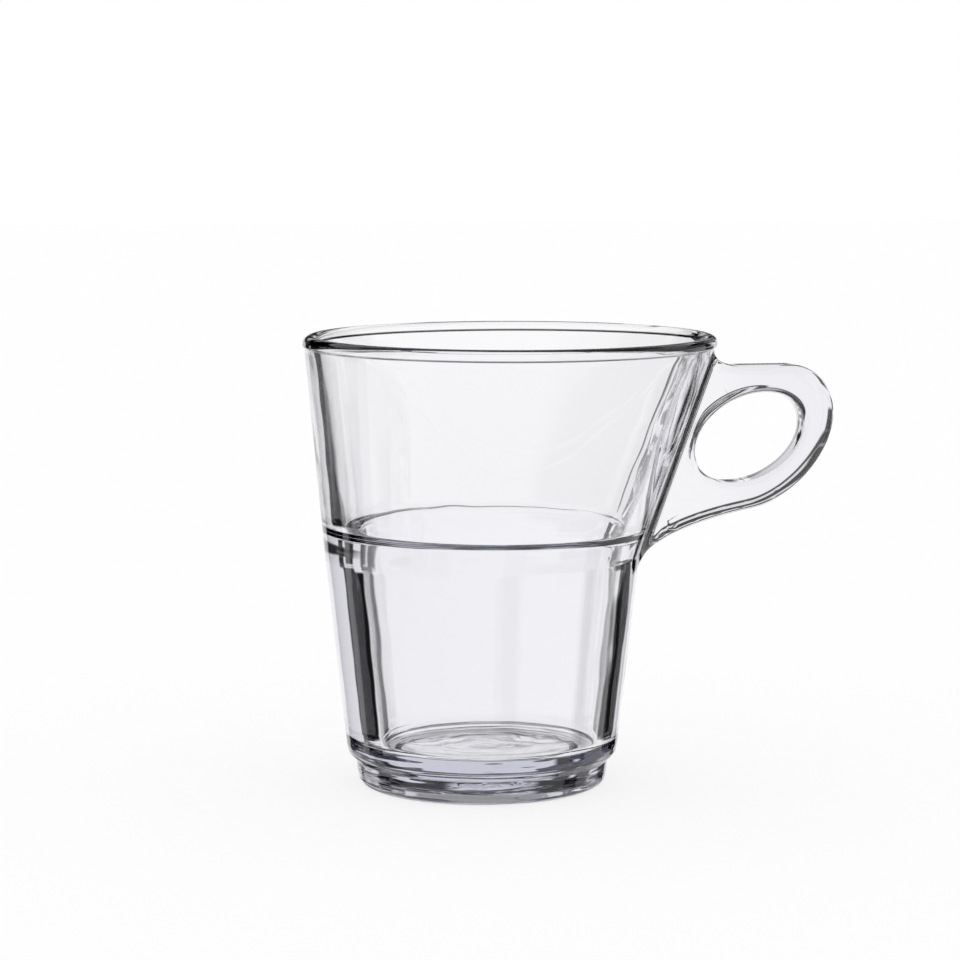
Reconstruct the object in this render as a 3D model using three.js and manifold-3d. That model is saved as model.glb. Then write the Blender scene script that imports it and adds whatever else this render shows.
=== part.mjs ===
import * as THREE from 'three';
import { mergeVertices } from 'three/addons/utils/BufferGeometryUtils.js';
import Module from 'manifold-3d';

// Clear pressed glass coffee cup, in millimetres, standing on z = 0.
// +X points from the foot's centre to the handle. The upper half leans that way.

// Heights of the zones, from the table up
const FOOT_HEIGHT = 5.2;
const BASE_THICKNESS = 3.8;
const LOWER_HEIGHT = 38.6;
const LEDGE_HEIGHT = 5.7;
const UPPER_HEIGHT = 37.1;
const BEAD_HEIGHT = 2.4;

// Outside radii, each one built on the zone below
const FOOT_RADIUS = 26.15;
const FOOT_TAPER = 0.7;
const FOOT_EDGE = 1.9;
const SHOULDER_STEP = 1.95;
const SHOULDER_RISE = 3.2;
const SHOULDER_CURL_OUT = 1.62;
const SHOULDER_CURL_UP = 1.5;
const LOWER_FLARE = 4.3;
const UPPER_FLARE = 9.6;
const BEAD_PROUD = 0.5;
const BEAD_SWELL = 1.0;

// How far the rim's centre stands towards the handle from the foot's centre
const RIM_LEAN = 6.0;

// Underside: the flat ring that it stands on and the shallow recess inside the ring
const BEARING_WIDTH = 4.25;
const RECESS_DEPTH = 1.6;
const RECESS_SLOPE = 1.6;

// Inside: walls, the stacking ledge and the bore below it, which is off the outside axis
const FLOOR_WALL = 5.75;
const FLOOR_ROUND = 1.8;
const BORE_SHIFT = 1.2;
const LEDGE_WIDTH = 2.6;
const LEDGE_EDGE = 0.7;
const LEDGE_CORNER = 0.9;
const UPPER_WALL_LOW = 4.2;
const UPPER_WALL_TOP = 3.0;

// Handle: a plate in the plane y = 0, set out from the centre of its finger hole
const HANDLE_THICKNESS = 8.6;
const HANDLE_ROUND = 2.2;
const HANDLE_SEAT = 0.3;
const HANDLE_SINK = 6.0;
const HANDLE_DROP = 4.4;
const HOLE_OUT = 15.2;
const HOLE_DOWN = 15.0;
const HOLE_LONG = 12.3;
const HOLE_SHORT = 8.55;
const HOLE_TILT = 25.6;
const ROOT_RISE = 3.5;
const ROOT_CURL = 1.8;
const ROOT_RUN = 6.2;
const TOP_END_OUT = 8.7;
const TIP_OUT = 18.1;
const TIP_RISE = 5.0;
const TIP_PULL = 9.0;
const HEEL_OUT = 9.0;
const HEEL_DROP = 13.35;
const UNDER_OUT = 0.8;
const UNDER_DROP = 14.9;
const TAIL_DROP = 1.4;
const TAIL_PULL_OUT = 6.5;
const TAIL_PULL_UP = 5.8;

// Facets, and how far a cutting solid runs past what it cuts
const ROUND_FACETS = 72;
const ARC_STEPS = 3;
const OUTLINE_STEPS = 8;
const CUT_PAST = 1.0;

const FLOOR_Z = FOOT_HEIGHT + BASE_THICKNESS;
const BEND_Z = FLOOR_Z + LOWER_HEIGHT;
const LEDGE_Z = BEND_Z + LEDGE_HEIGHT;
const CORNER_Z = LEDGE_Z + LEDGE_CORNER;
const BEAD_Z = LEDGE_Z + UPPER_HEIGHT;
const RIM_Z = BEAD_Z + BEAD_HEIGHT;
const SHOULDER_Z = FOOT_HEIGHT + SHOULDER_RISE;

const SHOULDER_RADIUS = FOOT_RADIUS + SHOULDER_STEP;
const BEND_RADIUS = SHOULDER_RADIUS + LOWER_FLARE;
const NECK_RADIUS = BEND_RADIUS + UPPER_FLARE;
const LEAN_SLOPE = RIM_LEAN / (RIM_Z - BEND_Z);

// Outside radius of the two cones at a height, about their own axis
function outsideRadius(z) {
  if (z < BEND_Z) {
    return SHOULDER_RADIUS + ((z - SHOULDER_Z) / (BEND_Z - SHOULDER_Z)) * LOWER_FLARE;
  }
  return BEND_RADIUS + ((z - BEND_Z) / (BEAD_Z - BEND_Z)) * UPPER_FLARE;
}

// Where that axis stands at a height: upright to the bend, then leaning to the handle
function axisShift(z) {
  return Math.max(0, z - BEND_Z) * LEAN_SLOPE;
}

// How far out the wall is on the handle's side
function wallReach(z) {
  return outsideRadius(z) + axisShift(z);
}

// Inside radius of the upper bowl, from the ledge to the bead
const LEDGE_RADIUS = outsideRadius(LEDGE_Z) - UPPER_WALL_LOW;
const NECK_BORE = NECK_RADIUS - UPPER_WALL_TOP;

function bowlRadius(z) {
  return LEDGE_RADIUS + ((z - LEDGE_Z) / UPPER_HEIGHT) * (NECK_BORE - LEDGE_RADIUS);
}

// Inside radius of the bore, from the floor to the ledge
const BORE_FLOOR = outsideRadius(FLOOR_Z) - FLOOR_WALL;
const BORE_TOP = LEDGE_RADIUS - LEDGE_WIDTH;

function boreRadius(z) {
  return BORE_FLOOR + ((z - FLOOR_Z) / (LEDGE_Z - FLOOR_Z)) * (BORE_TOP - BORE_FLOOR);
}

// A profile of radius and height, turned round the upright axis
function turned(profile) {
  const geometry = new THREE.LatheGeometry(profile.getPoints(ARC_STEPS), ROUND_FACETS);
  return geometry.rotateX(Math.PI / 2);
}

// The same shape with everything above the bend carried towards the handle
function leaned(geometry) {
  const position = geometry.attributes.position;
  for (let i = 0; i < position.count; i += 1) {
    position.setX(i, position.getX(i) + axisShift(position.getZ(i)));
  }
  return geometry;
}

const wasm = await Module();
wasm.setup();

// A closed geometry as a solid that can be cut
function solid(geometry) {
  const bare = new THREE.BufferGeometry();
  bare.setAttribute('position', geometry.attributes.position);
  bare.setIndex(geometry.index);
  const joined = mergeVertices(bare, 1e-4);
  const corners = joined.index.array;
  const triVerts = [];
  for (let i = 0; i < corners.length; i += 3) {
    const [a, b, c] = corners.slice(i, i + 3);
    if (a !== b && b !== c && c !== a) triVerts.push(a, b, c);
  }
  return new wasm.Manifold(new wasm.Mesh({
    numProp: 3,
    vertProperties: new Float32Array(joined.attributes.position.array),
    triVerts: new Uint32Array(triVerts),
  }));
}

// A cut solid as a geometry again
function surface(cutSolid) {
  const mesh = cutSolid.getMesh();
  const geometry = new THREE.BufferGeometry();
  geometry.setAttribute('position', new THREE.BufferAttribute(mesh.vertProperties, 3));
  geometry.setIndex(new THREE.BufferAttribute(mesh.triVerts, 1));
  geometry.computeVertexNormals();
  return geometry;
}

const cup = new THREE.Group();
cup.name = 'glass_coffee_cup';

function addZone(name, geometry) {
  const clearGlass = new THREE.MeshStandardMaterial({
    color: 0xeef2f4,
    roughness: 0.03,
    metalness: 0,
  });
  const zone = new THREE.Mesh(geometry, clearGlass);
  zone.name = name;
  cup.add(zone);
}

// Foot: a short tapering drum with a round lower edge and a shallow recess underneath
const bearingOuter = FOOT_RADIUS - FOOT_TAPER - FOOT_EDGE;
const bearingInner = bearingOuter - BEARING_WIDTH;
const foot = new THREE.Path();
foot.moveTo(0, RECESS_DEPTH);
foot.lineTo(bearingInner - RECESS_SLOPE, RECESS_DEPTH);
foot.lineTo(bearingInner, 0);
foot.lineTo(bearingOuter, 0);
foot.absarc(bearingOuter, FOOT_EDGE, FOOT_EDGE, -Math.PI / 2, 0, false);
foot.lineTo(FOOT_RADIUS, FOOT_HEIGHT);
foot.lineTo(0, FOOT_HEIGHT);
addZone('foot', turned(foot));

// Base slab: thick glass under the floor, stepping out over the foot in a round shoulder
const slab = new THREE.Path();
slab.moveTo(0, FOOT_HEIGHT);
slab.lineTo(FOOT_RADIUS, FOOT_HEIGHT);
slab.quadraticCurveTo(FOOT_RADIUS + SHOULDER_CURL_OUT, FOOT_HEIGHT + SHOULDER_CURL_UP,
  SHOULDER_RADIUS, SHOULDER_Z);
slab.lineTo(outsideRadius(FLOOR_Z), FLOOR_Z);
slab.lineTo(0, FLOOR_Z);
addZone('base_slab', turned(slab));

// The bore: round at the floor, and round over the ledge's edge
const kneeZ = FLOOR_Z + FLOOR_ROUND;
const kneeX = boreRadius(kneeZ) - FLOOR_ROUND;
const lipZ = LEDGE_Z - LEDGE_EDGE;
const lipX = boreRadius(lipZ) + LEDGE_EDGE;
const bore = new THREE.Path();
bore.moveTo(0, FLOOR_Z - CUT_PAST);
bore.lineTo(kneeX, FLOOR_Z - CUT_PAST);
bore.lineTo(kneeX, FLOOR_Z);
bore.absarc(kneeX, kneeZ, FLOOR_ROUND, -Math.PI / 2, 0, false);
bore.lineTo(boreRadius(BEND_Z), BEND_Z);
bore.lineTo(boreRadius(lipZ), lipZ);
bore.absarc(lipX, lipZ, LEDGE_EDGE, Math.PI, Math.PI / 2, true);
bore.lineTo(lipX, LEDGE_Z + CUT_PAST);
bore.lineTo(0, LEDGE_Z + CUT_PAST);
const boreSolid = solid(leaned(turned(bore).translate(BORE_SHIFT, 0, 0)));

// Lower bowl: the thick wall from the floor to the bend
const lower = new THREE.Path();
lower.moveTo(0, FLOOR_Z);
lower.lineTo(outsideRadius(FLOOR_Z), FLOOR_Z);
lower.lineTo(BEND_RADIUS, BEND_Z);
lower.lineTo(0, BEND_Z);
addZone('lower_bowl', surface(solid(turned(lower)).subtract(boreSolid)));

// Ledge band: the thick wall above the bend, with the flat ledge and the corner round it
const band = new THREE.Path();
band.moveTo(0, BEND_Z);
band.lineTo(BEND_RADIUS, BEND_Z);
band.lineTo(outsideRadius(CORNER_Z), CORNER_Z);
band.lineTo(bowlRadius(CORNER_Z), CORNER_Z);
band.absarc(bowlRadius(CORNER_Z) - LEDGE_CORNER, CORNER_Z, LEDGE_CORNER, 0, -Math.PI / 2, true);
band.lineTo(0, LEDGE_Z);
addZone('ledge_band', surface(solid(leaned(turned(band))).subtract(boreSolid)));

// Upper bowl: the thin flaring wall
const upper = new THREE.Path();
upper.moveTo(bowlRadius(CORNER_Z), CORNER_Z);
upper.lineTo(outsideRadius(CORNER_Z), CORNER_Z);
upper.lineTo(NECK_RADIUS, BEAD_Z);
upper.lineTo(NECK_BORE, BEAD_Z);
upper.lineTo(bowlRadius(CORNER_Z), CORNER_Z);
addZone('upper_bowl', leaned(turned(upper)));

// Rim bead: the drinking edge, swelling a little outside and round over the top
const swellZ = BEAD_Z + BEAD_SWELL;
const rimBore = bowlRadius(swellZ);
const beadHalf = (NECK_RADIUS + BEAD_PROUD - rimBore) / 2;
const bead = new THREE.Path();
bead.moveTo(NECK_BORE, BEAD_Z);
bead.lineTo(NECK_RADIUS, BEAD_Z);
bead.absellipse(NECK_RADIUS, swellZ, BEAD_PROUD, BEAD_SWELL, -Math.PI / 2, 0, false);
bead.absellipse(rimBore + beadHalf, swellZ, beadHalf, RIM_Z - swellZ, 0, Math.PI, false);
bead.lineTo(NECK_BORE, BEAD_Z);
addZone('rim_bead', leaned(turned(bead)));

// Handle: the plate's outline from under the rim, round the tip and back along the underside
const topZ = BEAD_Z - HANDLE_DROP;
const holeZ = topZ - HOLE_DOWN;
const holeX = wallReach(holeZ) + HOLE_OUT;
const rootZ = topZ + ROOT_RISE;
const rootX = wallReach(rootZ);
const topEndX = holeX + TOP_END_OUT;
const tipX = holeX + TIP_OUT;
const tipZ = holeZ + TIP_RISE;
const heelX = holeX + HEEL_OUT;
const heelZ = holeZ - HEEL_DROP;
const underX = holeX + UNDER_OUT;
const underZ = holeZ - UNDER_DROP;
const tailZ = BEND_Z - TAIL_DROP;
const tailX = wallReach(tailZ);
const outline = new THREE.Shape();
outline.moveTo(tailX - HANDLE_SINK, tailZ);
outline.lineTo(rootX - HANDLE_SINK, rootZ);
outline.lineTo(rootX, rootZ);
outline.quadraticCurveTo(rootX + ROOT_CURL, topZ, rootX + ROOT_RUN, topZ);
outline.lineTo(topEndX, topZ);
outline.absellipse(topEndX, tipZ, tipX - topEndX, topZ - tipZ, Math.PI / 2, 0, true);
outline.bezierCurveTo(tipX, tipZ - TIP_PULL, heelX, heelZ, underX, underZ);
outline.bezierCurveTo(2 * underX - heelX, 2 * underZ - heelZ,
  tailX + TAIL_PULL_OUT, tailZ + TAIL_PULL_UP, tailX, tailZ);
const fingerHole = new THREE.Path();
fingerHole.absellipse(holeX, holeZ, HOLE_LONG, HOLE_SHORT, 0, Math.PI * 2, false,
  THREE.MathUtils.degToRad(HOLE_TILT));
outline.holes.push(fingerHole);
const plate = new THREE.ExtrudeGeometry(outline, {
  depth: HANDLE_THICKNESS - 2 * HANDLE_ROUND,
  bevelThickness: HANDLE_ROUND,
  bevelSize: HANDLE_ROUND,
  bevelOffset: -HANDLE_ROUND,
  bevelSegments: ARC_STEPS,
  curveSegments: OUTLINE_STEPS,
});
plate.translate(0, 0, HANDLE_ROUND - HANDLE_THICKNESS / 2);
plate.rotateX(Math.PI / 2);

// The plate ends on the outside wall
const wall = new THREE.Path();
wall.moveTo(0, FLOOR_Z);
wall.lineTo(outsideRadius(FLOOR_Z) + HANDLE_SEAT, FLOOR_Z);
wall.lineTo(BEND_RADIUS + HANDLE_SEAT, BEND_Z);
wall.lineTo(NECK_RADIUS + HANDLE_SEAT, BEAD_Z);
wall.lineTo(0, BEAD_Z);
addZone('handle', surface(solid(plate).subtract(solid(leaned(turned(wall))))));

export default cup;
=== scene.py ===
import functools
import math

import bmesh
import bpy
import numpy as np
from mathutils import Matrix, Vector, kdtree


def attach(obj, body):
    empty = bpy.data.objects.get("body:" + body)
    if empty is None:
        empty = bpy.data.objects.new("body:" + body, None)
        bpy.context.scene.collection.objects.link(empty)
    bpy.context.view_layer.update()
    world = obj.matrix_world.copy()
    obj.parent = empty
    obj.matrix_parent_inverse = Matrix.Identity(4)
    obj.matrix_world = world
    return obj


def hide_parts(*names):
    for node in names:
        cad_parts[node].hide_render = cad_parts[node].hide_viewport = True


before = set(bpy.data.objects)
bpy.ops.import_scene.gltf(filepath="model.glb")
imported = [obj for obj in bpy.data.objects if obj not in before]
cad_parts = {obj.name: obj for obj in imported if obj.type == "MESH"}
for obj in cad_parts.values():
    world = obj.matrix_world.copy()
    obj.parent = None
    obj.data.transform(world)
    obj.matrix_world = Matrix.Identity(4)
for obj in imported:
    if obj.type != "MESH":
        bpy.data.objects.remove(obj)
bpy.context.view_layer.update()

# Glass: clear soda-lime glass, pressed hot between a mould and a plunger. It is
# nearly colourless and faintly cool where it is thick. Its fire-finished skin keeps
# long shallow ripples from chilling, and fine turned marks round the base.
MM = 0.001
GLASS_IOR = 1.52
GLASS_TINT = (0.995, 0.993, 1.0, 1.0)
CORD_TINT = (0.999, 0.998, 1.0, 1.0)
THICK_TINT = (0.65, 0.65, 0.745, 1.0)
THICK_DENSITY = 30.0
# Painted shade: the handle's plate is coloured a little greyer than the wall
PLATE_PAINTED_SHADE = (0.945, 0.945, 0.965, 1.0)
PLATE_START = 49.0 * MM
PLATE_FULL = 58.0 * MM
PLATE_RIPPLE = 0.3
RIPPLE_LENGTH = 13.0 * MM
RIPPLE_DEPTH = 0.11 * MM
SKIN_SMOOTHEST = 0.0
SKIN_DULLEST = 0.015
SMOOTH_BELOW = 0.4
DULL_ABOVE = 0.8
TURNED_PITCH = 2.0 * MM
TURNED_RUN = 14.0 * MM
TURNED_DEPTH = 0.2 * MM
TURNED_FULL = 8.0 * MM
TURNED_GONE = 11.5 * MM
FLOOR_SHARE = 0.12
FLOOR_EDGE = 19.0 * MM
FOOT_SIDE = 24.0 * MM
NOISE_DETAIL = 1.0


def put_node(tree, kind, links=(), **settings):
    """A new node with its settings made, and its sockets linked or filled."""
    node = tree.nodes.new(kind)
    for name, value in settings.items():
        setattr(node, name, value)
    for socket, source in links:
        if hasattr(source, "is_output"):
            tree.links.new(source, node.inputs[socket])
        else:
            node.inputs[socket].default_value = source
    return node


def put_math(tree, operation, first, second=0.0):
    links = [(0, first), (1, second)]
    return put_node(tree, "ShaderNodeMath", links, operation=operation).outputs[0]


def put_range(tree, value, start, end, first=0.0, last=1.0, **settings):
    """A value that goes from first to last while the one given goes from start to end."""
    links = [
        ("Value", value), ("From Min", start), ("From Max", end), ("To Min", first), ("To Max", last),
    ]
    return put_node(tree, "ShaderNodeMapRange", links, **settings).outputs[0]


clear_glass = bpy.data.materials.new("clear_pressed_glass")
clear_glass.use_nodes = True
glass_tree = clear_glass.node_tree
glass_node = functools.partial(put_node, glass_tree)
glass_math = functools.partial(put_math, glass_tree)
glass_range = functools.partial(put_range, glass_tree)


def glass_noise(place, scale):
    links = [("Vector", place), ("Scale", scale), ("Detail", NOISE_DETAIL)]
    return glass_node("ShaderNodeTexNoise", links).outputs["Fac"]


def glass_blend(share, first, second):
    """Two colours mixed: a Mix node takes colours in sockets 6 and 7 and gives one in 2."""
    links = [("Factor", share), (6, first), (7, second)]
    return glass_node("ShaderNodeMix", links, data_type="RGBA").outputs[2]


# Long ripples lie all over the skin, and are shallower on the handle's plate
glass_place = glass_node("ShaderNodeTexCoord").outputs["Object"]
glass_parts = glass_node("ShaderNodeSeparateXYZ", [(0, glass_place)]).outputs
ripple = glass_noise(glass_place, 1.0 / RIPPLE_LENGTH)
ripple_here = glass_range(glass_parts["X"], PLATE_START, PLATE_FULL, 1.0, PLATE_RIPPLE)
rippled = glass_node(
    "ShaderNodeBump", [("Height", ripple), ("Distance", RIPPLE_DEPTH), ("Strength", ripple_here)]
).outputs[0]
skin = glass_range(ripple, SMOOTH_BELOW, DULL_ABOVE, SKIN_SMOOTHEST, SKIN_DULLEST)

# Turned marks run round the cup: they change quickly outwards and upwards, slowly round it.
# They are deepest on the side of the foot, faint on the floor and gone above the shoulder
from_axis = glass_math("SQRT", glass_math(
    "ADD",
    glass_math("MULTIPLY", glass_parts["X"], glass_parts["X"]),
    glass_math("MULTIPLY", glass_parts["Y"], glass_parts["Y"]),
))
turned_place = glass_node("ShaderNodeCombineXYZ", [
    ("X", glass_math("DIVIDE", glass_parts["X"], TURNED_RUN)),
    ("Y", glass_math("DIVIDE", glass_parts["Y"], TURNED_RUN)),
    ("Z", glass_math("DIVIDE", glass_math("ADD", from_axis, glass_parts["Z"]), TURNED_PITCH)),
]).outputs[0]
turned_marks = glass_noise(turned_place, 1.0)
near_base = glass_range(glass_parts["Z"], TURNED_FULL, TURNED_GONE, 1.0, 0.0)
off_floor = glass_range(from_axis, FLOOR_EDGE, FOOT_SIDE, FLOOR_SHARE, 1.0)
marks_here = glass_math("MULTIPLY", near_base, off_floor)
marked = glass_node("ShaderNodeBump", [
    ("Height", turned_marks),
    ("Distance", TURNED_DEPTH),
    ("Strength", marks_here),
    ("Normal", rippled),
]).outputs[0]

# Faint cords tint the wall, the handle's plate gets painted shade that makes it a little greyer, and
# thick glass is darker
wall_tint = glass_blend(turned_marks, GLASS_TINT, CORD_TINT)
# Painted shade on the handle's plate, blended in from where the plate starts
plate_shade_share = glass_range(glass_parts["X"], PLATE_START, PLATE_FULL)
glass_tint_and_plate_shade = glass_blend(plate_shade_share, wall_tint, PLATE_PAINTED_SHADE)
thick_glass = glass_node(
    "ShaderNodeVolumeAbsorption", [("Color", THICK_TINT), ("Density", THICK_DENSITY)]
).outputs["Volume"]
glass_tree.links.new(thick_glass, glass_tree.nodes["Material Output"].inputs["Volume"])
glass_skin = glass_tree.nodes["Principled BSDF"].inputs
glass_skin["IOR"].default_value = GLASS_IOR
glass_skin["Transmission Weight"].default_value = 1.0
for socket, source in (("Base Color", glass_tint_and_plate_shade), ("Roughness", skin), ("Normal", marked)):
    glass_tree.links.new(source, glass_skin[socket])

# Bowl: everything but the handle, from the foot to the drinking edge. The mould
# turns the outside and the plunger the inside, and the upper half leans to the
# handle so that cups stack with their handles in line. Sizes are in millimetres.
RIM_HEIGHT = 92.8
BEAD_LOW = 90.4
BEAD_STEP = 0.3
LEDGE_HEIGHT = 53.3
BEND_HEIGHT = 47.6
FLOOR_HEIGHT = 9.0
SHOULDER_HEIGHT = 8.4
CURL_HEIGHT = 6.7
FOOT_TOP = 5.2
RECESS_DEPTH = 1.6
RECESS_RADIUS = 17.7
RING_BORE = 19.3
FOOT_LOW_RADIUS = 25.45
FOOT_RADIUS = 26.15
CURL_RADIUS = 27.77
SHOULDER_RADIUS = 28.1
BEND_RADIUS = 32.4
NECK_RADIUS = 42.0
BEAD_RADIUS = 42.5
RIM_BORE = 39.6
LEDGE_RADIUS = 29.48
LEDGE_LIP = 26.9
FLOOR_RADIUS = 22.4
BORE_SHIFT = 1.2
RIM_LEAN = 6.0
LEAN_SLOPE = RIM_LEAN / (RIM_HEIGHT - BEND_HEIGHT)

# Corners of the wall's section, from the middle of the underside round to the
# middle of the floor: radius, height, rounding and shift towards the handle
wall_section = [
    (0.0, RECESS_DEPTH, 0.0, 0.0),
    (RECESS_RADIUS, RECESS_DEPTH, 0.9, 0.0),
    (RING_BORE, 0.0, 0.6, 0.0),
    (FOOT_LOW_RADIUS, 0.0, 1.9, 0.0),
    (FOOT_RADIUS, FOOT_TOP, 0.4, 0.0),
    (CURL_RADIUS, CURL_HEIGHT, 2.2, 0.0),
    (SHOULDER_RADIUS, SHOULDER_HEIGHT, 2.0, 0.0),
    (BEND_RADIUS, BEND_HEIGHT, 4.0, 0.0),
    (NECK_RADIUS, BEAD_LOW, 0.3, 0.0),
    (BEAD_RADIUS, BEAD_LOW + BEAD_STEP, 0.5, 0.0),
    (BEAD_RADIUS, RIM_HEIGHT, 1.4, 0.0),
    (RIM_BORE, RIM_HEIGHT, 1.4, 0.0),
    (LEDGE_RADIUS, LEDGE_HEIGHT, 1.3, 0.0),
    (LEDGE_LIP, LEDGE_HEIGHT, 1.2, BORE_SHIFT),
    (FLOOR_RADIUS, FLOOR_HEIGHT, 1.8, BORE_SHIFT),
    (0.0, FLOOR_HEIGHT, 0.0, BORE_SHIFT),
]
section_curve = bpy.data.curves.new("wall_section", "CURVE")
section_curve.dimensions = "3D"
section_line = section_curve.splines.new("POLY")
section_line.points.add(len(wall_section) - 1)
for corner, (radius, height, rounding, shift) in zip(section_line.points, wall_section):
    corner.co = (radius * MM, shift * MM, height * MM, 1.0)
    corner.radius = rounding * MM
section = bpy.data.objects.new("wall_section", section_curve)
bpy.context.scene.collection.objects.link(section)

# The rule that turns the section: each of its points becomes a ring, and the
# columns are set closer where the handle's root joins the wall
CORNER_STEPS = 7
ROW_SPACING = 1.6
ROUND_COLUMNS = 212
ROOT_COLUMNS = 8
ROOT_ANGLE = math.radians(10.5)
MERGE_GAP = 0.02
bowl_rule = bpy.data.node_groups.new("turned_bowl", "GeometryNodeTree")
bowl_rule.is_modifier = True
bowl_node = functools.partial(put_node, bowl_rule)
bowl_math = functools.partial(put_math, bowl_rule)
bowl_rule.interface.new_socket("Section", in_out="INPUT", socket_type="NodeSocketGeometry")
bowl_rule.interface.new_socket("Bowl", in_out="OUTPUT", socket_type="NodeSocketGeometry")
bowl_sizes = {}
for name, kind, value in (
    ("Corner Steps", "NodeSocketInt", CORNER_STEPS),
    ("Row Spacing", "NodeSocketFloat", ROW_SPACING * MM),
    ("Round Columns", "NodeSocketInt", ROUND_COLUMNS),
    ("Root Columns", "NodeSocketInt", ROOT_COLUMNS),
    ("Root Angle", "NodeSocketFloat", ROOT_ANGLE),
    ("Bend Height", "NodeSocketFloat", BEND_HEIGHT * MM),
    ("Lean", "NodeSocketFloat", LEAN_SLOPE),
    ("Glass", "NodeSocketMaterial", clear_glass),
):
    socket = bowl_rule.interface.new_socket(name, in_out="INPUT", socket_type=kind)
    bowl_sizes[socket.identifier] = value

# The section's corners are rounded and its long stretches cut into rows
given = bowl_node("NodeGroupInput").outputs
rounded = bowl_node(
    "GeometryNodeFilletCurve",
    [
        ("Curve", given["Section"]),
        ("Count", given["Corner Steps"]),
        ("Radius", bowl_node("GeometryNodeInputRadius").outputs[0]),
        ("Limit Radius", True),
    ],
    mode="POLY",
).outputs[0]
place = bowl_node("GeometryNodeInputPosition").outputs[0]
next_point = bowl_node("GeometryNodeOffsetPointInCurve", [("Offset", 1)]).outputs["Point Index"]
next_place = bowl_node(
    "GeometryNodeFieldAtIndex",
    [("Index", next_point), ("Value", place)],
    data_type="FLOAT_VECTOR",
    domain="POINT",
).outputs[0]
stretch = bowl_node(
    "ShaderNodeVectorMath", [(0, place), (1, next_place)], operation="DISTANCE"
).outputs["Value"]
row_cuts = bowl_math("FLOOR", bowl_math("DIVIDE", stretch, given["Row Spacing"]))
ruled = bowl_node(
    "GeometryNodeSubdivideCurve", [("Curve", rounded), ("Cuts", row_cuts)]
).outputs[0]
ring_count = bowl_node(
    "GeometryNodeAttributeDomainSize", [("Geometry", ruled)], component="CURVE"
).outputs["Point Count"]

# A flat grid has a line of points for each column, and a point in it for each ring
column_count = bowl_math("ADD", given["Round Columns"], given["Root Columns"])
blank = bowl_node(
    "GeometryNodeMeshGrid",
    [("Vertices X", bowl_math("ADD", column_count, 1.0)), ("Vertices Y", ring_count)],
).outputs["Mesh"]
number = bowl_node("GeometryNodeInputIndex").outputs[0]
ring = bowl_math("MODULO", number, ring_count)
column = bowl_math("FLOOR", bowl_math("DIVIDE", number, ring_count))
ring_place = bowl_node(
    "GeometryNodeSampleIndex",
    [("Geometry", ruled), ("Value", place), ("Index", ring)],
    data_type="FLOAT_VECTOR",
    domain="POINT",
).outputs[0]
ring_parts = bowl_node("ShaderNodeSeparateXYZ", [(0, ring_place)]).outputs

# The columns of the root come first, and the others share the rest of the turn
root_width = bowl_math("MULTIPLY", given["Root Angle"], 2.0)
root_step = bowl_math("DIVIDE", root_width, given["Root Columns"])
root_turn = bowl_math("SUBTRACT", bowl_math("MULTIPLY", column, root_step), given["Root Angle"])
past_root = bowl_math("SUBTRACT", column, given["Root Columns"])
open_turn = bowl_math("SUBTRACT", 2.0 * math.pi, root_width)
round_step = bowl_math("DIVIDE", open_turn, given["Round Columns"])
round_turn = bowl_math("ADD", given["Root Angle"], bowl_math("MULTIPLY", past_root, round_step))
in_root = bowl_math("LESS_THAN", past_root, 0.0)
turn = bowl_node(
    "ShaderNodeMix", [("Factor", in_root), ("A", round_turn), ("B", root_turn)], data_type="FLOAT"
).outputs[0]

# Each ring is turned about its own centre, which leans to the handle above the bend
over_bend = bowl_math(
    "MAXIMUM", bowl_math("SUBTRACT", ring_parts["Z"], given["Bend Height"]), 0.0
)
ring_centre = bowl_math("ADD", bowl_math("MULTIPLY", over_bend, given["Lean"]), ring_parts["Y"])
to_handle = bowl_math("MULTIPLY", ring_parts["X"], bowl_math("COSINE", turn))
ring_point = bowl_node("ShaderNodeCombineXYZ", [
    ("X", bowl_math("ADD", ring_centre, to_handle)),
    ("Y", bowl_math("MULTIPLY", ring_parts["X"], bowl_math("SINE", turn))),
    ("Z", ring_parts["Z"]),
]).outputs[0]
bowl_made = blank
for kind, links in (
    ("GeometryNodeSetPosition", [("Position", ring_point)]),
    ("GeometryNodeMergeByDistance", [("Distance", MERGE_GAP * MM)]),
    ("GeometryNodeSetShadeSmooth", []),
    ("GeometryNodeRealizeInstances", []),
    ("GeometryNodeSetMaterial", [("Material", given["Glass"])]),
):
    bowl_made = bowl_node(kind, [("Geometry", bowl_made), *links]).outputs[0]
bowl_node("NodeGroupOutput", [("Bowl", bowl_made)])

turning = section.modifiers.new("turned_bowl", "NODES")
turning.node_group = bowl_rule
for identifier, value in bowl_sizes.items():
    turning[identifier] = value
bowl_mesh = bpy.data.meshes.new_from_object(
    section.evaluated_get(bpy.context.evaluated_depsgraph_get())
)
section.modifiers.remove(turning)
bpy.data.objects.remove(section)
bowl_mesh.name = "cup_glass"
cup = bpy.data.objects.new("cup_glass", bowl_mesh)
bpy.context.scene.collection.objects.link(cup)

# Handle: a flat plate with a slanting oval finger hole, pressed in one with the
# bowl. Its root spreads into the wall in a round corner, its edges are rounded,
# and its tail runs down past the bend.
HANDLE_THICKNESS = 8.6
HALF = HANDLE_THICKNESS / 2
EDGE_ROUND = 2.2
HOLE_ROUND = 1.5
ROOT_FILLET = 3.0
HOLE_PLACE = np.array([55.955, 71.0])
HOLE_LONG = 12.3
HOLE_SHORT = 8.55
HOLE_TILT = math.radians(25.6)
TOP_HEIGHT = 86.0
TOP_END_X = 64.655
TIP = np.array([74.055, 76.0])
TIP_PULL = 9.0
HEEL = np.array([64.955, 57.65])
UNDER = np.array([56.755, 56.1])
ROOT_HEIGHT = 89.5
ROOT_CURL = 1.8
ROOT_RUN = 6.2
ROOT_SINK = 6.0
TAIL_HEIGHT = 46.2
TAIL_PULL_OUT = 6.5
TAIL_PULL_UP = 5.8
TAIL_SPREAD = 2.5

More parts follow.
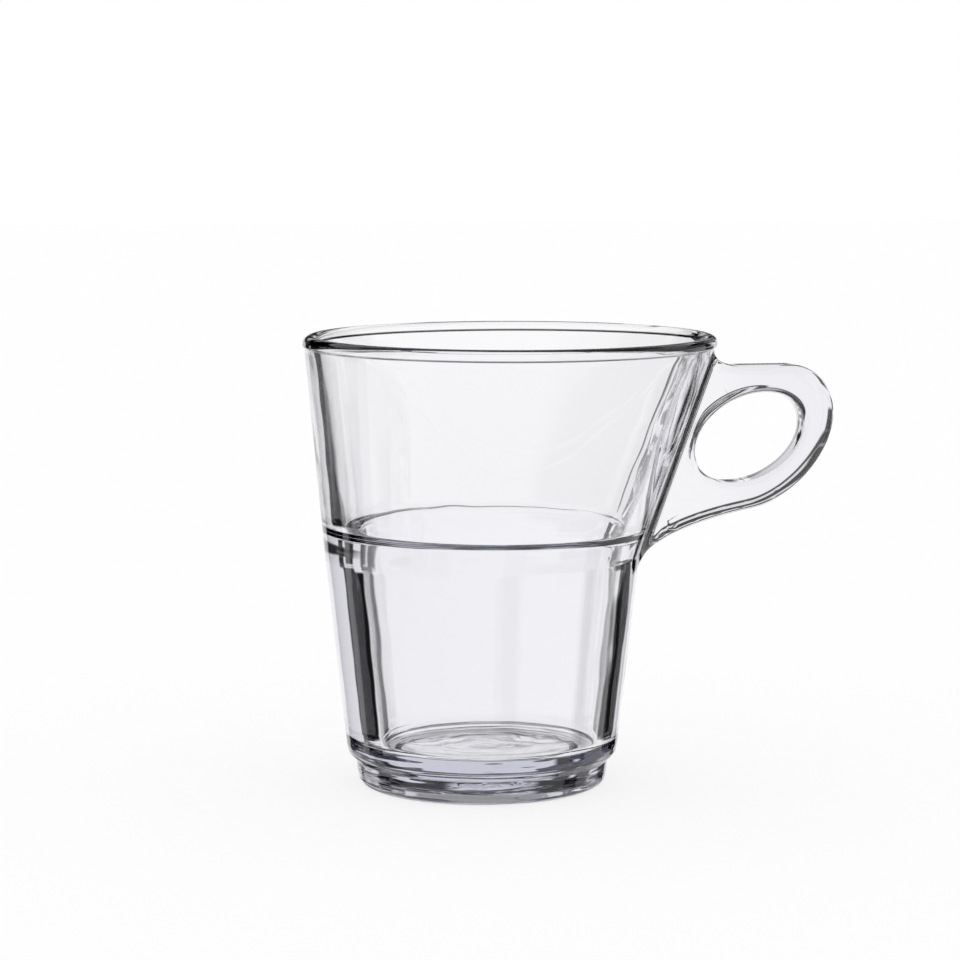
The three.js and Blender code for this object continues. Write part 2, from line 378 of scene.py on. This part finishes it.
# The bowl's rows on the handle's side are the wall that the root grows from. A line up
# the middle of the wall tells its outside from its inside
MIDDLE_HEIGHTS = [FLOOR_HEIGHT, BEND_HEIGHT, BEAD_LOW]
MIDDLE_RADII = [25.0, 29.5, 40.5]
SAME_ANGLE = 0.001
BELOW_BEAD = 0.05
bowl = bmesh.new()
bowl.from_mesh(bowl_mesh)
root_side = []
for vertex in bowl.verts:
    x, y, z = vertex.co / MM
    x -= max(0.0, z - BEND_HEIGHT) * LEAN_SLOPE
    if abs(math.atan2(y, x) - ROOT_ANGLE) < SAME_ANGLE:
        root_side.append((z, math.hypot(x, y)))
wall_rows = np.array(sorted(
    (z, radius) for z, radius in root_side
    if SHOULDER_HEIGHT < z < BEAD_LOW - BELOW_BEAD
    and radius > np.interp(z, MIDDLE_HEIGHTS, MIDDLE_RADII)
))


def wall_centre(z):
    return np.maximum(0.0, z - BEND_HEIGHT) * LEAN_SLOPE


def wall_radius(z):
    return np.interp(z, wall_rows[:, 0], wall_rows[:, 1])


def wall_reach(z):
    return wall_centre(z) + wall_radius(z)


# Outline of the plate in its own plane, from under the rim round the tip to the tail
CURVE_STEPS = 24
TIP_STEPS = 16


def bezier(*corners):
    t = np.linspace(0.0, 1.0, CURVE_STEPS + 1)[:, None]
    level = [np.array(corner, float) + 0.0 * t for corner in corners]
    while len(level) > 1:
        level = [a + (b - a) * t for a, b in zip(level, level[1:])]
    return level[0]


root_x = wall_reach(ROOT_HEIGHT)
tail_x = wall_reach(TAIL_HEIGHT)
quarter = np.linspace(math.pi / 2, 0.0, TIP_STEPS + 1)[:, None]
root_curl = bezier(
    (root_x, ROOT_HEIGHT), (root_x + ROOT_CURL, TOP_HEIGHT), (root_x + ROOT_RUN, TOP_HEIGHT)
)
tip_bow = np.hstack([
    TOP_END_X + (TIP[0] - TOP_END_X) * np.cos(quarter),
    TIP[1] + (TOP_HEIGHT - TIP[1]) * np.sin(quarter),
])
heel_bow = bezier(TIP, (TIP[0], TIP[1] - TIP_PULL), HEEL, UNDER)
tail_pull = (tail_x + TAIL_PULL_OUT, TAIL_HEIGHT + TAIL_PULL_UP)
tail_bow = bezier(UNDER, 2 * UNDER - HEEL, tail_pull, (tail_x, TAIL_HEIGHT))
handle_line = np.vstack([root_curl, tip_bow, heel_bow[1:], tail_bow[1:]])
sunk_end = [[tail_x - ROOT_SINK, TAIL_HEIGHT], [root_x - ROOT_SINK, ROOT_HEIGHT]]
plate_line = np.vstack([handle_line, sunk_end])


def outline_distance(flat):
    """Distance from points of the plate's plane to its outline, less than zero inside."""
    start, end = plate_line, np.roll(plate_line, -1, axis=0)
    run = end - start
    offset = flat[:, None, :] - start
    along = np.clip((offset * run).sum(2) / (run ** 2).sum(1), 0.0, 1.0)
    nearest = np.sqrt((((offset - along[..., None] * run)) ** 2).sum(2)).min(1)
    above = start[:, 1] > flat[:, 1:2]
    crosses = above != (end[:, 1] > flat[:, 1:2])
    level = np.where(run[:, 1] == 0.0, 1.0, run[:, 1])
    meets = start[:, 0] + run[:, 0] * (flat[:, 1:2] - start[:, 1]) / level
    inside = (crosses & (flat[:, 0:1] < meets)).sum(1) % 2 == 1
    return np.where(inside, -nearest, nearest)


def hole_distance(flat):
    """Distance from points of the plate's plane to the finger hole's edge."""
    offset = flat - HOLE_PLACE
    u = offset[:, 0] * math.cos(HOLE_TILT) + offset[:, 1] * math.sin(HOLE_TILT)
    v = offset[:, 1] * math.cos(HOLE_TILT) - offset[:, 0] * math.sin(HOLE_TILT)
    share = np.hypot(u / HOLE_LONG, v / HOLE_SHORT)
    slope = np.hypot(u / HOLE_LONG ** 2, v / HOLE_SHORT ** 2)
    return share * (share - 1.0) / slope


def rounded_plate(edge, side, rounding):
    """Distance to a plate's rounded edge, from the distances to its edge and its side."""
    edge, side = edge + rounding, side + rounding
    corner = np.hypot(np.maximum(edge, 0.0), np.maximum(side, 0.0))
    return corner + np.minimum(np.maximum(edge, side), 0.0) - rounding


def plate_distance(points):
    """How far points are outside the handle's plate."""
    flat = points[:, [0, 2]]
    side = np.abs(points[:, 1]) - HALF
    return np.maximum(
        rounded_plate(outline_distance(flat), side, EDGE_ROUND),
        rounded_plate(-hole_distance(flat), side, HOLE_ROUND),
    )


# The wall leans, so it is nearer than it is along the level
WALL_LEVEL = 0.95


def glass_distance(points):
    """How far points are outside the wall and handle, joined by the root's round corner."""
    plate = plate_distance(points)
    height = points[:, 2]
    from_centre = np.hypot(points[:, 0] - wall_centre(height), points[:, 1])
    wall = (from_centre - wall_radius(height)) * WALL_LEVEL
    joined = np.hypot(np.maximum(ROOT_FILLET - plate, 0.0), np.maximum(ROOT_FILLET - wall, 0.0))
    return np.maximum(ROOT_FILLET, np.minimum(plate, wall)) - joined


PRESS_STEP = 0.01
LEAST_SLOPE = 0.2


def pressed(points, rounds):
    """Points brought onto the surface of the wall and handle."""
    for _ in range(rounds):
        here = glass_distance(points)
        slope = np.stack([
            (glass_distance(points + PRESS_STEP * axis) - here) / PRESS_STEP for axis in np.eye(3)
        ], axis=1)
        points = points - slope * (here / np.maximum((slope ** 2).sum(1), LEAST_SLOPE))[:, None]
    return points


# The plate's grid: rays run from the finger hole to the outline, and to the wall's
# rows where the root is
OUTLINE_RAYS = 100
low_row = np.searchsorted(wall_rows[:, 0], TAIL_HEIGHT - TAIL_SPREAD) - 1
root_rows = wall_rows[low_row:, 0]
root_line = np.column_stack([wall_reach(root_rows), root_rows])
path = np.vstack([root_line[-1:], handle_line, root_line[:1]])
travel = np.concatenate([[0.0], np.cumsum(np.hypot(*np.diff(path, axis=0).T))])
stops = np.linspace(0.0, travel[-1], OUTLINE_RAYS + 1)
edge_points = np.column_stack([np.interp(stops, travel, path[:, i]) for i in (0, 1)])
along_edge = np.gradient(edge_points, axis=0)
along_edge /= np.hypot(*along_edge.T)[:, None]
edge_out = np.column_stack([-along_edge[:, 1], along_edge[:, 0]])
ray_ends = np.vstack([edge_points, root_line[1:-1]])
ray_count = len(ray_ends)
edge_out = np.vstack([edge_out, np.zeros((ray_count - len(edge_out), 2))])

# The rays leave the hole nearly at even steps, first along the outline and then up the root
EVEN_SHARE = 0.35
seen = np.unwrap(np.arctan2(*(ray_ends - HOLE_PLACE).T[::-1]))
even = np.concatenate([
    np.linspace(seen[0], seen[OUTLINE_RAYS], OUTLINE_RAYS + 1),
    np.linspace(seen[OUTLINE_RAYS], seen[0] - 2.0 * math.pi, len(root_rows))[1:-1],
])
bearing = EVEN_SHARE * even + (1.0 - EVEN_SHARE) * seen - HOLE_TILT
hole_reach = 1.0 / np.hypot(np.cos(bearing) / HOLE_LONG, np.sin(bearing) / HOLE_SHORT)
hole_u, hole_v = hole_reach * np.cos(bearing), hole_reach * np.sin(bearing)
tilt = np.array([
    [math.cos(HOLE_TILT), math.sin(HOLE_TILT)],
    [-math.sin(HOLE_TILT), math.cos(HOLE_TILT)],
])
hole_points = HOLE_PLACE + np.column_stack([hole_u, hole_v]) @ tilt
hole_out = np.column_stack([hole_u / HOLE_LONG ** 2, hole_v / HOLE_SHORT ** 2]) @ tilt
hole_out /= np.hypot(*hole_out.T)[:, None]

# How far each ray belongs to the root's flare rather than to the rounded edge, and the
# room that the flare has at the corners of the root and beside the hole
BLEND_RAYS = 7
CORNER_ROOM = 0.12
WEB_SHARE = 0.6
ray = np.arange(ray_count)
from_root = np.where(ray > OUTLINE_RAYS, 0, np.minimum(ray, OUTLINE_RAYS - ray))
flare = 1.0 - np.clip(from_root / BLEND_RAYS, 0.0, 1.0)
flare = (flare * flare * (3.0 - 2.0 * flare))[:, None]
flare_width = (wall_radius(ray_ends[:, 1]) * math.sin(ROOT_ANGLE) - HALF)[:, None]
corner_gap = np.minimum(
    np.hypot(*(ray_ends - ray_ends[0]).T), np.hypot(*(ray_ends - ray_ends[OUTLINE_RAYS]).T)
)[:, None]
room = np.minimum(1.0, CORNER_ROOM * corner_gap)
web = np.hypot(*(ray_ends - hole_points).T)[:, None] - HOLE_ROUND
flare_room = np.minimum(room, WEB_SHARE * web / flare_width)

# One half of the plate, row by row along each ray: the hole's round edge, the face, and
# then the rounded edge or the flare. The other half is its mirror image. The slopes are
# the wall's own, above and below its bend
EDGE_STEPS = 6
FACE_STEPS = 8
UPPER_SLOPE = 0.342
LOWER_SLOPE = 0.11
turn_in = np.linspace(0.0, math.pi / 2, EDGE_STEPS + 1)[None, :]
hole_depth = HOLE_ROUND * (1.0 - np.cos(turn_in))
hole_side = HALF - HOLE_ROUND * (1.0 - np.sin(turn_in)) + 0.0 * flare
edge_depth = room * EDGE_ROUND * (1.0 - np.sin(turn_in))
edge_side = HALF - EDGE_ROUND * (1.0 - np.cos(turn_in))
flare_depth = flare_room * flare_width * (1.0 - np.sin(turn_in))
flare_side = HALF + flare_width * (1.0 - np.cos(turn_in))
flare_back = flare_side ** 2 / (2.0 * wall_radius(ray_ends[:, 1]))[:, None]
wall_slope = np.where(ray_ends[:, 1] > BEND_HEIGHT, UPPER_SLOPE, LOWER_SLOPE)[:, None]
root_x_part = flare_depth * np.sqrt(1.0 - wall_slope ** 2) - flare_back
root_z_part = -flare_depth * wall_slope
outer_x = ray_ends[:, :1] + flare * root_x_part - (1.0 - flare) * edge_out[:, :1] * edge_depth
outer_z = ray_ends[:, 1:] + flare * root_z_part - (1.0 - flare) * edge_out[:, 1:] * edge_depth
outer_y = flare * flare_side + (1.0 - flare) * edge_side
outer = np.stack([outer_x, outer_y, outer_z], axis=2)
inner = np.stack([
    hole_points[:, :1] + hole_out[:, :1] * hole_depth,
    hole_side,
    hole_points[:, 1:] + hole_out[:, 1:] * hole_depth,
], axis=2)
face_share = np.linspace(0.0, 1.0, FACE_STEPS + 1)[None, 1:-1, None]
flat_face = inner[:, -1:] + (outer[:, :1] - inner[:, -1:]) * face_share
front = np.concatenate([inner, flat_face, outer], axis=1)
back = front * [1.0, -1.0, 1.0]


def rows_across(first, last, steps):
    share = np.linspace(0.0, 1.0, steps + 1)[None, :, None]
    return first[:, None] + (last - first)[:, None] * share


HOLE_STEPS = 6
hole_wall = rows_across(front[:, 0], back[:, 0], HOLE_STEPS)
rim_wall = rows_across(front[:, -1], back[:, -1], ROOT_COLUMNS)[:OUTLINE_RAYS + 1]

# The wall's faces under the root make way, and the grid is sewn to their edge
root_turns = np.linspace(ROOT_ANGLE, -ROOT_ANGLE, ROOT_COLUMNS + 1)
finder = kdtree.KDTree(len(bowl.verts))
for vertex in bowl.verts:
    finder.insert(vertex.co, vertex.index)
finder.balance()
bowl.verts.ensure_lookup_table()
root_patch = []
for z in root_rows:
    radius = wall_radius(z)
    ring_places = [
        (wall_centre(z) + radius * math.cos(t), radius * math.sin(t), z) for t in root_turns
    ]
    root_patch.append([bowl.verts[finder.find(Vector(point) * MM)[1]] for point in ring_places])
patch = {vertex for row in root_patch for vertex in row}
covered = [face for face in bowl.faces if all(vertex in patch for vertex in face.verts)]
bmesh.ops.delete(bowl, geom=covered, context="FACES")


def new_row(points):
    return [bowl.verts.new(Vector(point) * MM) for point in points]


def sew(rows, joined=False):
    """Faces between each row and the next, and back to the first row where they are joined."""
    pairs = list(zip(rows, rows[1:])) + ([(rows[-1], rows[0])] if joined else [])
    for one, other in pairs:
        for a, b, c, d in zip(one, one[1:], other[1:], other):
            bowl.faces.new((a, b, c, d))


front_rows, back_rows, hole_rows, rim_rows = [], [], [], []
for k in range(ray_count):
    front_row, back_row = new_row(front[k, :-1]), new_row(back[k, :-1])
    if 0 < k < OUTLINE_RAYS:
        rim_row = new_row(rim_wall[k])
    else:
        row = root_patch[-1] if k == 0 else root_patch[max(0, k - OUTLINE_RAYS)]
        rim_row = row if k in (0, OUTLINE_RAYS) else [row[0], row[-1]]
    hole_row = [front_row[0], *new_row(hole_wall[k, 1:-1]), back_row[0]]
    front_rows.append(front_row + [rim_row[0]])
    back_rows.append(back_row + [rim_row[-1]])
    hole_rows.append(hole_row)
    rim_rows.append(rim_row)
sew(front_rows, joined=True)
sew(back_rows, joined=True)
sew(hole_rows, joined=True)
sew(rim_rows[:OUTLINE_RAYS + 1])

# The sewn grid and the wall round it are pressed onto the real surface
BELOW_TAIL = 8.0
ABOVE_ROOT = 0.01
BESIDE_ROOT = 14.0
FIRST_PRESSES = 5
plate_rows = front_rows + back_rows + hole_rows + rim_rows
handle_verts = {vertex for row in plate_rows for vertex in row}
bowl.verts.index_update()
for vertex in bowl.verts:
    x, y, z = vertex.co / MM
    outside = math.hypot(x - wall_centre(z), y) > np.interp(z, MIDDLE_HEIGHTS, MIDDLE_RADII)
    near_root = root_rows[0] - BELOW_TAIL < z < root_rows[-1] + ABOVE_ROOT and abs(y) < BESIDE_ROOT
    if outside and near_root and x > 0.0:
        handle_verts.add(vertex)
handle_verts = sorted(handle_verts, key=lambda vertex: vertex.index)
handle_numbers = np.array([vertex.index for vertex in handle_verts])
places = pressed(np.array([vertex.co for vertex in handle_verts]) / MM, FIRST_PRESSES)

# The grid is evened out on that surface where its root and edge meet
LOOSE_RAYS = 14
EVEN_ROUNDS = 40
KEPT_SHARE = 0.4
LAST_PRESSES = 4
slot_of = {vertex: i for i, vertex in enumerate(handle_verts)}
free = set()
for k in range(ray_count):
    last_free = -1 if from_root[k] < LOOSE_RAYS else EDGE_STEPS + FACE_STEPS
    for row in (front_rows[k], back_rows[k]):
        free.update(row[EDGE_STEPS + 1:last_free])
    if 0 < from_root[k] < BLEND_RAYS:
        free.update(rim_rows[k])
loose = sorted(slot_of[vertex] for vertex in free)
beside = [
    [slot_of[edge.other_vert(handle_verts[i])] for edge in handle_verts[i].link_edges]
    for i in loose
]
for _ in range(EVEN_ROUNDS):
    evened = np.array([places[near].mean(0) for near in beside])
    places[loose] = pressed(KEPT_SHARE * places[loose] + (1.0 - KEPT_SHARE) * evened, 1)
places[loose] = pressed(places[loose], LAST_PRESSES)
for vertex, point in zip(handle_verts, places):
    vertex.co = Vector(point) * MM
bmesh.ops.recalc_face_normals(bowl, faces=bowl.faces)
for face in bowl.faces:
    face.smooth = True
    face.material_index = 0
bowl.to_mesh(bowl_mesh)
bowl.free()
bowl_mesh.materials.clear()
bowl_mesh.materials.append(clear_glass)

# The plate's faces, hole and root are shaded by their true slope, not by the grid's
NORMAL_STEP = 0.02
SHADED_SHARE = 0.8
true_slope = np.stack([
    glass_distance(places + NORMAL_STEP * axis) - glass_distance(places - NORMAL_STEP * axis)
    for axis in np.eye(3)
], axis=1)
true_slope /= np.linalg.norm(true_slope, axis=1)[:, None]
inside_edge = outline_distance(places[:, [0, 2]]) < -EDGE_ROUND
on_plate = inside_edge & (plate_distance(places) < SHADED_SHARE * ROOT_FILLET)
normals = np.zeros((len(bowl_mesh.vertices), 3))
normals[handle_numbers[on_plate]] = true_slope[on_plate]
bowl_mesh.normals_split_custom_set_from_vertices(normals)

# Bowl and handle are one pressing, so one piece stands for all of its zones
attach(cup, "root")
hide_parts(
    "foot", "base_slab", "lower_bowl", "ledge_band", "upper_bowl", "rim_bead", "handle"
)

# Camera: a long lens a little above the rim, far enough off that the cup's sides
# stay nearly parallel, with the handle turned slightly away.
CAMERA_PLACE = (-0.114, -0.6442, 0.14067)
CAMERA_TURN = math.radians(-10.0)
CAMERA_PITCH = math.radians(90.0 - 6.78)
LENS_LENGTH = 120.0
SENSOR_WIDTH = 36.0
lens = bpy.data.cameras.new("camera")
lens.lens = LENS_LENGTH
lens.sensor_width = SENSOR_WIDTH
camera = bpy.data.objects.new("camera", lens)
camera.location = CAMERA_PLACE
camera.rotation_euler = (CAMERA_PITCH, 0.0, CAMERA_TURN)
bpy.context.scene.collection.objects.link(camera)
bpy.context.scene.camera = camera

# Table: a white top that the cup stands on, pale enough to run into the white
# behind it, with the cup's soft shadow on it. The glass doesn't see it.
TABLE_REACH = 3.0
TABLE_PALE = (0.25, 0.25, 0.25, 1.0)
TABLE_GLOW = 0.75
NO_LIGHT = (0.0, 0.0, 0.0, 1.0)
table_mesh = bpy.data.meshes.new("table")
table_mesh.from_pydata(
    [(x * TABLE_REACH, y * TABLE_REACH, 0.0) for x, y in ((-1, -1), (1, -1), (1, 1), (-1, 1))],
    [],
    [(0, 1, 2, 3)],
)
table_white = bpy.data.materials.new("table_white")
table_white.use_nodes = True
table_white.node_tree.nodes.clear()
table_node = functools.partial(put_node, table_white.node_tree)
matt = table_node("ShaderNodeBsdfDiffuse", [("Color", TABLE_PALE)]).outputs[0]
glow = table_node("ShaderNodeEmission", [("Strength", TABLE_GLOW)]).outputs[0]
no_glow = table_node("ShaderNodeBsdfTransparent", [("Color", NO_LIGHT)]).outputs[0]
table_seen = table_node("ShaderNodeLightPath").outputs["Is Camera Ray"]
seen_glow = table_node(
    "ShaderNodeMixShader", [(0, table_seen), (1, no_glow), (2, glow)]
).outputs[0]
table_shade = table_node("ShaderNodeAddShader", [(0, matt), (1, seen_glow)]).outputs[0]
table_node("ShaderNodeOutputMaterial", [("Surface", table_shade)])
table_mesh.materials.append(table_white)
table = bpy.data.objects.new("table", table_mesh)
table.visible_glossy = False
table.visible_transmission = False
bpy.context.scene.collection.objects.link(table)

# Studio: soft white all round, with dark boards beside, above and below the view
# that give clear glass its edges. Only the glass sees the boards: the camera and
# the table see plain white.
STUDIO_WHITE = (1.0, 1.0, 1.0, 1.0)
EDGE_SOFT = 1.5
world = bpy.data.worlds.new("studio")
bpy.context.scene.world = world
world.use_nodes = True
sky_tree = world.node_tree
sky_node = functools.partial(put_node, sky_tree)
sky_math = functools.partial(put_math, sky_tree)
sky_rise = functools.partial(put_range, sky_tree, interpolation_type="SMOOTHSTEP")

# Directions are told in degrees: the turn to the right from the line of the shot, and the rise
sky_way = sky_node(
    "ShaderNodeVectorRotate",
    [("Vector", sky_node("ShaderNodeTexCoord").outputs["Generated"]), ("Angle", -CAMERA_TURN)],
    rotation_type="Z_AXIS",
).outputs[0]
sky_parts = sky_node("ShaderNodeSeparateXYZ", [(0, sky_way)]).outputs
turn_from_shot = sky_math("DEGREES", sky_math("ARCTAN2", sky_parts["X"], sky_parts["Y"]))
rise = sky_math("DEGREES", sky_math("ARCSINE", sky_parts["Z"]))


def board(light, left, right, low, high, shade, side_soft=EDGE_SOFT, level_soft=EDGE_SOFT):
    """The light round the cup with a dark board put in it, which leaves a share of the light."""
    beside = sky_math(
        "MULTIPLY",
        sky_rise(turn_from_shot, left - side_soft, left + side_soft),
        sky_rise(turn_from_shot, right + side_soft, right - side_soft),
    )
    level = sky_math(
        "MULTIPLY",
        sky_rise(rise, low - level_soft, low + level_soft),
        sky_rise(rise, high + level_soft, high - level_soft),
    )
    cover = sky_math("MULTIPLY", sky_math("MULTIPLY", beside, level), 1.0 - shade)
    return sky_math("MULTIPLY", light, sky_math("SUBTRACT", 1.0, cover))


# Each board's left, right, low and high edge, its share of the light, and its softness
wall_boards = [
    (-110.0, 110.0, 3.2, 9.0, 0.04),
    (-200.0, 200.0, 12.5, 42.0, 0.8),
    (-200.0, 200.0, 42.0, 100.0, 0.3),
    (-60.0, 60.0, -80.0, -53.0, 0.06),
]
slats_behind = [
    (-60.0, 60.0, 11.1, 11.5, 0.0, 8.0, 0.2),
    (-60.0, 60.0, 13.2, 17.5, 0.02, 8.0, 0.4),
    (-60.0, 60.0, 20.0, 26.0, 0.02, 8.0, 0.5),
]
left_boards = [
    (-48.0, -28.5, -18.0, -6.8, 0.01),
    (-59.0, -46.0, -18.0, -11.0, 0.01),
    (-84.0, -66.5, -23.5, -13.0, 0.01),
    (-48.0, -36.0, -4.0, 4.0, 0.05),
    (-33.0, -24.0, -7.5, 4.0, 0.03),
    (-48.0, -28.5, 4.0, 28.0, 0.02, 3.0),
    (-33.0, -17.5, 9.0, 28.0, 0.02, 3.0, 0.6),
    (-140.0, -58.0, 9.5, 27.0, 0.03, 12.0, 1.0),
]
right_boards = [
    (23.0, 42.0, -18.0, -6.8, 0.01),
    (40.0, 46.5, -18.0, -11.0, 0.01),
    (45.0, 56.0, -18.0, -13.0, 0.01),
    (34.0, 44.0, -4.0, 4.0, 0.05),
    (10.0, 26.0, 9.0, 28.0, 0.02, 3.0, 0.6),
    (23.0, 42.0, 4.0, 28.0, 0.02, 4.0),
]
boards_for_other_sides = [
    (-27.0, -13.0, -40.0, -21.0, 0.05),
    (-100.0, -83.0, -40.0, -22.0, 0.05),
    (-145.0, -128.0, -14.0, 0.0, 0.3),
    (-72.0, -58.0, -9.0, 4.0, 0.05),
    (80.0, 97.0, -24.0, -10.0, 0.05),
    (153.0, 170.0, -24.0, -10.0, 0.3),
]
light = 1.0
for boards in (wall_boards, slats_behind, left_boards, right_boards, boards_for_other_sides):
    for edges in boards:
        light = board(light, *edges)

sky_ray = sky_node("ShaderNodeLightPath").outputs
from_matt = sky_math("MINIMUM", sky_ray["Diffuse Depth"], 1.0)
plain = sky_math("MAXIMUM", sky_ray["Is Camera Ray"], from_matt)
boarded = sky_math("MULTIPLY", light, sky_math("SUBTRACT", 1.0, plain))
background = sky_tree.nodes["Background"].inputs
background["Color"].default_value = STUDIO_WHITE
sky_tree.links.new(sky_math("ADD", boarded, plain), background["Strength"])
bpy.context.scene.view_settings.view_transform = "Standard"
